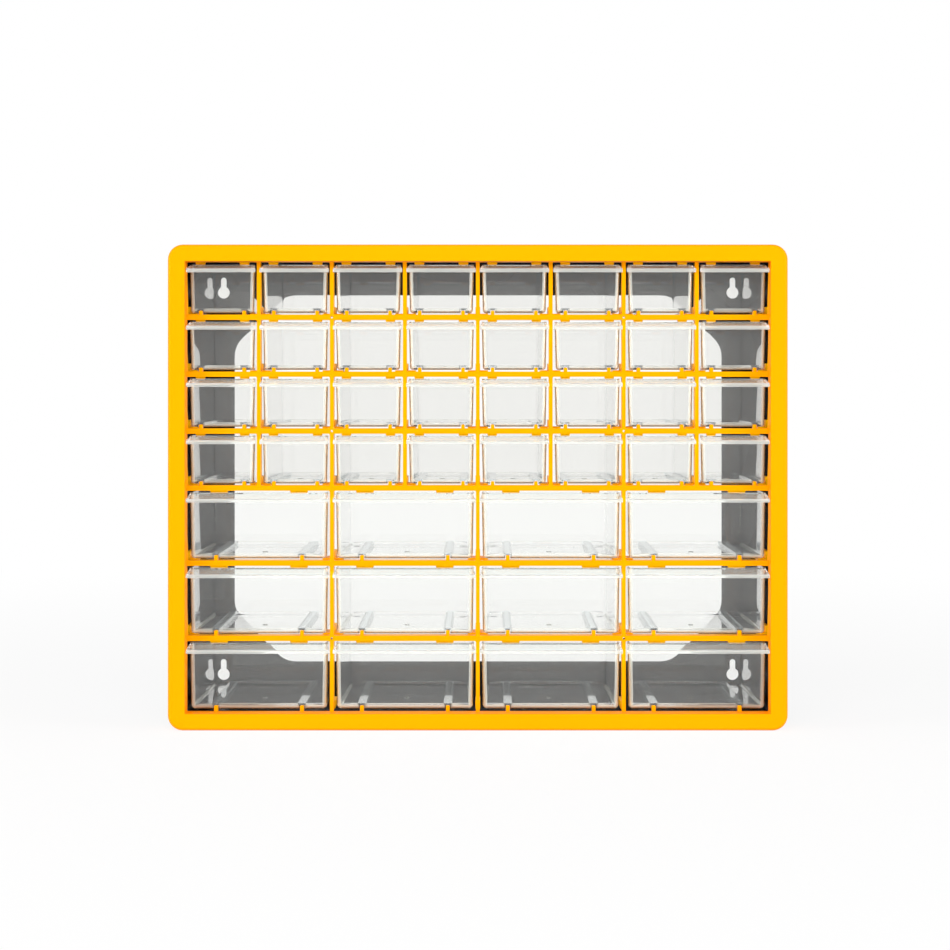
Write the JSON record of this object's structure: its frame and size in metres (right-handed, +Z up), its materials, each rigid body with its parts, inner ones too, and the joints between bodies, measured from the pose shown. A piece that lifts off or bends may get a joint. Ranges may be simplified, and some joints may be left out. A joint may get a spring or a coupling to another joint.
{
  "type": "parts bin cabinet",
  "caption": "Small-parts storage cabinet: a moulded frame with a grid of cells, clear pull-out drawers in two sizes, and an open-backed casing with keyhole slots for a wall.",
  "frame": {"origin": "middle of the cabinet's base, where it stands", "axes": "+X to the right seen from the front, +Y to the back, +Z up; the drawers pull out along -Y"},
  "size_m": [0.495, 0.16, 0.388],
  "materials": {
    "frame_plastic": "satin yellow-orange moulded plastic",
    "casing_plastic": "glossy black moulded plastic",
    "drawer_plastic": "clear polished plastic"
  },
  "bodies": {
    "cabinet": {"bezel": "frame_plastic", "grid_rails": "frame_plastic", "grid_bars": "frame_plastic", "guide_webs": "frame_plastic", "guide_ledges": "frame_plastic", "stop_tabs": "frame_plastic", "floor_nubs": "frame_plastic", "rear_casing": "casing_plastic"},
    "large_drawer_r5_c1": {"large_drawer_r5_c1": "drawer_plastic"},
    "large_drawer_r5_c2": {"large_drawer_r5_c2": "drawer_plastic"},
    "large_drawer_r5_c3": {"large_drawer_r5_c3": "drawer_plastic"},
    "large_drawer_r5_c4": {"large_drawer_r5_c4": "drawer_plastic"},
    "large_drawer_r6_c1": {"large_drawer_r6_c1": "drawer_plastic"},
    "large_drawer_r6_c2": {"large_drawer_r6_c2": "drawer_plastic"},
    "large_drawer_r6_c3": {"large_drawer_r6_c3": "drawer_plastic"},
    "large_drawer_r6_c4": {"large_drawer_r6_c4": "drawer_plastic"},
    "large_drawer_r7_c1": {"large_drawer_r7_c1": "drawer_plastic"},
    "large_drawer_r7_c2": {"large_drawer_r7_c2": "drawer_plastic"},
    "large_drawer_r7_c3": {"large_drawer_r7_c3": "drawer_plastic"},
    "large_drawer_r7_c4": {"large_drawer_r7_c4": "drawer_plastic"},
    "small_drawer_r1_c1": {"small_drawer_r1_c1": "drawer_plastic"},
    "small_drawer_r1_c2": {"small_drawer_r1_c2": "drawer_plastic"},
    "small_drawer_r1_c3": {"small_drawer_r1_c3": "drawer_plastic"},
    "small_drawer_r1_c4": {"small_drawer_r1_c4": "drawer_plastic"},
    "small_drawer_r1_c5": {"small_drawer_r1_c5": "drawer_plastic"},
    "small_drawer_r1_c6": {"small_drawer_r1_c6": "drawer_plastic"},
    "small_drawer_r1_c7": {"small_drawer_r1_c7": "drawer_plastic"},
    "small_drawer_r1_c8": {"small_drawer_r1_c8": "drawer_plastic"},
    "small_drawer_r2_c1": {"small_drawer_r2_c1": "drawer_plastic"},
    "small_drawer_r2_c2": {"small_drawer_r2_c2": "drawer_plastic"},
    "small_drawer_r2_c3": {"small_drawer_r2_c3": "drawer_plastic"},
    "small_drawer_r2_c4": {"small_drawer_r2_c4": "drawer_plastic"},
    "small_drawer_r2_c5": {"small_drawer_r2_c5": "drawer_plastic"},
    "small_drawer_r2_c6": {"small_drawer_r2_c6": "drawer_plastic"},
    "small_drawer_r2_c7": {"small_drawer_r2_c7": "drawer_plastic"},
    "small_drawer_r2_c8": {"small_drawer_r2_c8": "drawer_plastic"},
    "small_drawer_r3_c1": {"small_drawer_r3_c1": "drawer_plastic"},
    "small_drawer_r3_c2": {"small_drawer_r3_c2": "drawer_plastic"},
    "small_drawer_r3_c3": {"small_drawer_r3_c3": "drawer_plastic"},
    "small_drawer_r3_c4": {"small_drawer_r3_c4": "drawer_plastic"},
    "small_drawer_r3_c5": {"small_drawer_r3_c5": "drawer_plastic"},
    "small_drawer_r3_c6": {"small_drawer_r3_c6": "drawer_plastic"},
    "small_drawer_r3_c7": {"small_drawer_r3_c7": "drawer_plastic"},
    "small_drawer_r3_c8": {"small_drawer_r3_c8": "drawer_plastic"},
    "small_drawer_r4_c1": {"small_drawer_r4_c1": "drawer_plastic"},
    "small_drawer_r4_c2": {"small_drawer_r4_c2": "drawer_plastic"},
    "small_drawer_r4_c3": {"small_drawer_r4_c3": "drawer_plastic"},
    "small_drawer_r4_c4": {"small_drawer_r4_c4": "drawer_plastic"},
    "small_drawer_r4_c5": {"small_drawer_r4_c5": "drawer_plastic"},
    "small_drawer_r4_c6": {"small_drawer_r4_c6": "drawer_plastic"},
    "small_drawer_r4_c7": {"small_drawer_r4_c7": "drawer_plastic"},
    "small_drawer_r4_c8": {"small_drawer_r4_c8": "drawer_plastic"}
  },
  "joints": [
    {"name": "slide_r5_c1", "type": "slide", "parent": "cabinet", "child": "large_drawer_r5_c1", "axis": [0, -1, 0], "range_m": [0, 0.127]},
    {"name": "slide_r5_c2", "type": "slide", "parent": "cabinet", "child": "large_drawer_r5_c2", "axis": [0, -1, 0], "range_m": [0, 0.127]},
    {"name": "slide_r5_c3", "type": "slide", "parent": "cabinet", "child": "large_drawer_r5_c3", "axis": [0, -1, 0], "range_m": [0, 0.127]},
    {"name": "slide_r5_c4", "type": "slide", "parent": "cabinet", "child": "large_drawer_r5_c4", "axis": [0, -1, 0], "range_m": [0, 0.127]},
    {"name": "slide_r6_c1", "type": "slide", "parent": "cabinet", "child": "large_drawer_r6_c1", "axis": [0, -1, 0], "range_m": [0, 0.127]},
    {"name": "slide_r6_c2", "type": "slide", "parent": "cabinet", "child": "large_drawer_r6_c2", "axis": [0, -1, 0], "range_m": [0, 0.127]},
    {"name": "slide_r6_c3", "type": "slide", "parent": "cabinet", "child": "large_drawer_r6_c3", "axis": [0, -1, 0], "range_m": [0, 0.127]},
    {"name": "slide_r6_c4", "type": "slide", "parent": "cabinet", "child": "large_drawer_r6_c4", "axis": [0, -1, 0], "range_m": [0, 0.127]},
    {"name": "slide_r7_c1", "type": "slide", "parent": "cabinet", "child": "large_drawer_r7_c1", "axis": [0, -1, 0], "range_m": [0, 0.127]},
    {"name": "slide_r7_c2", "type": "slide", "parent": "cabinet", "child": "large_drawer_r7_c2", "axis": [0, -1, 0], "range_m": [0, 0.127]},
    {"name": "slide_r7_c3", "type": "slide", "parent": "cabinet", "child": "large_drawer_r7_c3", "axis": [0, -1, 0], "range_m": [0, 0.127]},
    {"name": "slide_r7_c4", "type": "slide", "parent": "cabinet", "child": "large_drawer_r7_c4", "axis": [0, -1, 0], "range_m": [0, 0.127]},
    {"name": "slide_r1_c1", "type": "slide", "parent": "cabinet", "child": "small_drawer_r1_c1", "axis": [0, -1, 0], "range_m": [0, 0.127]},
    {"name": "slide_r1_c2", "type": "slide", "parent": "cabinet", "child": "small_drawer_r1_c2", "axis": [0, -1, 0], "range_m": [0, 0.127]},
    {"name": "slide_r1_c3", "type": "slide", "parent": "cabinet", "child": "small_drawer_r1_c3", "axis": [0, -1, 0], "range_m": [0, 0.127]},
    {"name": "slide_r1_c4", "type": "slide", "parent": "cabinet", "child": "small_drawer_r1_c4", "axis": [0, -1, 0], "range_m": [0, 0.127]},
    {"name": "slide_r1_c5", "type": "slide", "parent": "cabinet", "child": "small_drawer_r1_c5", "axis": [0, -1, 0], "range_m": [0, 0.127]},
    {"name": "slide_r1_c6", "type": "slide", "parent": "cabinet", "child": "small_drawer_r1_c6", "axis": [0, -1, 0], "range_m": [0, 0.127]},
    {"name": "slide_r1_c7", "type": "slide", "parent": "cabinet", "child": "small_drawer_r1_c7", "axis": [0, -1, 0], "range_m": [0, 0.127]},
    {"name": "slide_r1_c8", "type": "slide", "parent": "cabinet", "child": "small_drawer_r1_c8", "axis": [0, -1, 0], "range_m": [0, 0.127]},
    {"name": "slide_r2_c1", "type": "slide", "parent": "cabinet", "child": "small_drawer_r2_c1", "axis": [0, -1, 0], "range_m": [0, 0.127]},
    {"name": "slide_r2_c2", "type": "slide", "parent": "cabinet", "child": "small_drawer_r2_c2", "axis": [0, -1, 0], "range_m": [0, 0.127]},
    {"name": "slide_r2_c3", "type": "slide", "parent": "cabinet", "child": "small_drawer_r2_c3", "axis": [0, -1, 0], "range_m": [0, 0.127]},
    {"name": "slide_r2_c4", "type": "slide", "parent": "cabinet", "child": "small_drawer_r2_c4", "axis": [0, -1, 0], "range_m": [0, 0.127]},
    {"name": "slide_r2_c5", "type": "slide", "parent": "cabinet", "child": "small_drawer_r2_c5", "axis": [0, -1, 0], "range_m": [0, 0.127]},
    {"name": "slide_r2_c6", "type": "slide", "parent": "cabinet", "child": "small_drawer_r2_c6", "axis": [0, -1, 0], "range_m": [0, 0.127]},
    {"name": "slide_r2_c7", "type": "slide", "parent": "cabinet", "child": "small_drawer_r2_c7", "axis": [0, -1, 0], "range_m": [0, 0.127]},
    {"name": "slide_r2_c8", "type": "slide", "parent": "cabinet", "child": "small_drawer_r2_c8", "axis": [0, -1, 0], "range_m": [0, 0.127]},
    {"name": "slide_r3_c1", "type": "slide", "parent": "cabinet", "child": "small_drawer_r3_c1", "axis": [0, -1, 0], "range_m": [0, 0.127]},
    {"name": "slide_r3_c2", "type": "slide", "parent": "cabinet", "child": "small_drawer_r3_c2", "axis": [0, -1, 0], "range_m": [0, 0.127]},
    {"name": "slide_r3_c3", "type": "slide", "parent": "cabinet", "child": "small_drawer_r3_c3", "axis": [0, -1, 0], "range_m": [0, 0.127]},
    {"name": "slide_r3_c4", "type": "slide", "parent": "cabinet", "child": "small_drawer_r3_c4", "axis": [0, -1, 0], "range_m": [0, 0.127]},
    {"name": "slide_r3_c5", "type": "slide", "parent": "cabinet", "child": "small_drawer_r3_c5", "axis": [0, -1, 0], "range_m": [0, 0.127]},
    {"name": "slide_r3_c6", "type": "slide", "parent": "cabinet", "child": "small_drawer_r3_c6", "axis": [0, -1, 0], "range_m": [0, 0.127]},
    {"name": "slide_r3_c7", "type": "slide", "parent": "cabinet", "child": "small_drawer_r3_c7", "axis": [0, -1, 0], "range_m": [0, 0.127]},
    {"name": "slide_r3_c8", "type": "slide", "parent": "cabinet", "child": "small_drawer_r3_c8", "axis": [0, -1, 0], "range_m": [0, 0.127]},
    {"name": "slide_r4_c1", "type": "slide", "parent": "cabinet", "child": "small_drawer_r4_c1", "axis": [0, -1, 0], "range_m": [0, 0.127]},
    {"name": "slide_r4_c2", "type": "slide", "parent": "cabinet", "child": "small_drawer_r4_c2", "axis": [0, -1, 0], "range_m": [0, 0.127]},
    {"name": "slide_r4_c3", "type": "slide", "parent": "cabinet", "child": "small_drawer_r4_c3", "axis": [0, -1, 0], "range_m": [0, 0.127]},
    {"name": "slide_r4_c4", "type": "slide", "parent": "cabinet", "child": "small_drawer_r4_c4", "axis": [0, -1, 0], "range_m": [0, 0.127]},
    {"name": "slide_r4_c5", "type": "slide", "parent": "cabinet", "child": "small_drawer_r4_c5", "axis": [0, -1, 0], "range_m": [0, 0.127]},
    {"name": "slide_r4_c6", "type": "slide", "parent": "cabinet", "child": "small_drawer_r4_c6", "axis": [0, -1, 0], "range_m": [0, 0.127]},
    {"name": "slide_r4_c7", "type": "slide", "parent": "cabinet", "child": "small_drawer_r4_c7", "axis": [0, -1, 0], "range_m": [0, 0.127]},
    {"name": "slide_r4_c8", "type": "slide", "parent": "cabinet", "child": "small_drawer_r4_c8", "axis": [0, -1, 0], "range_m": [0, 0.127]}
  ]
}
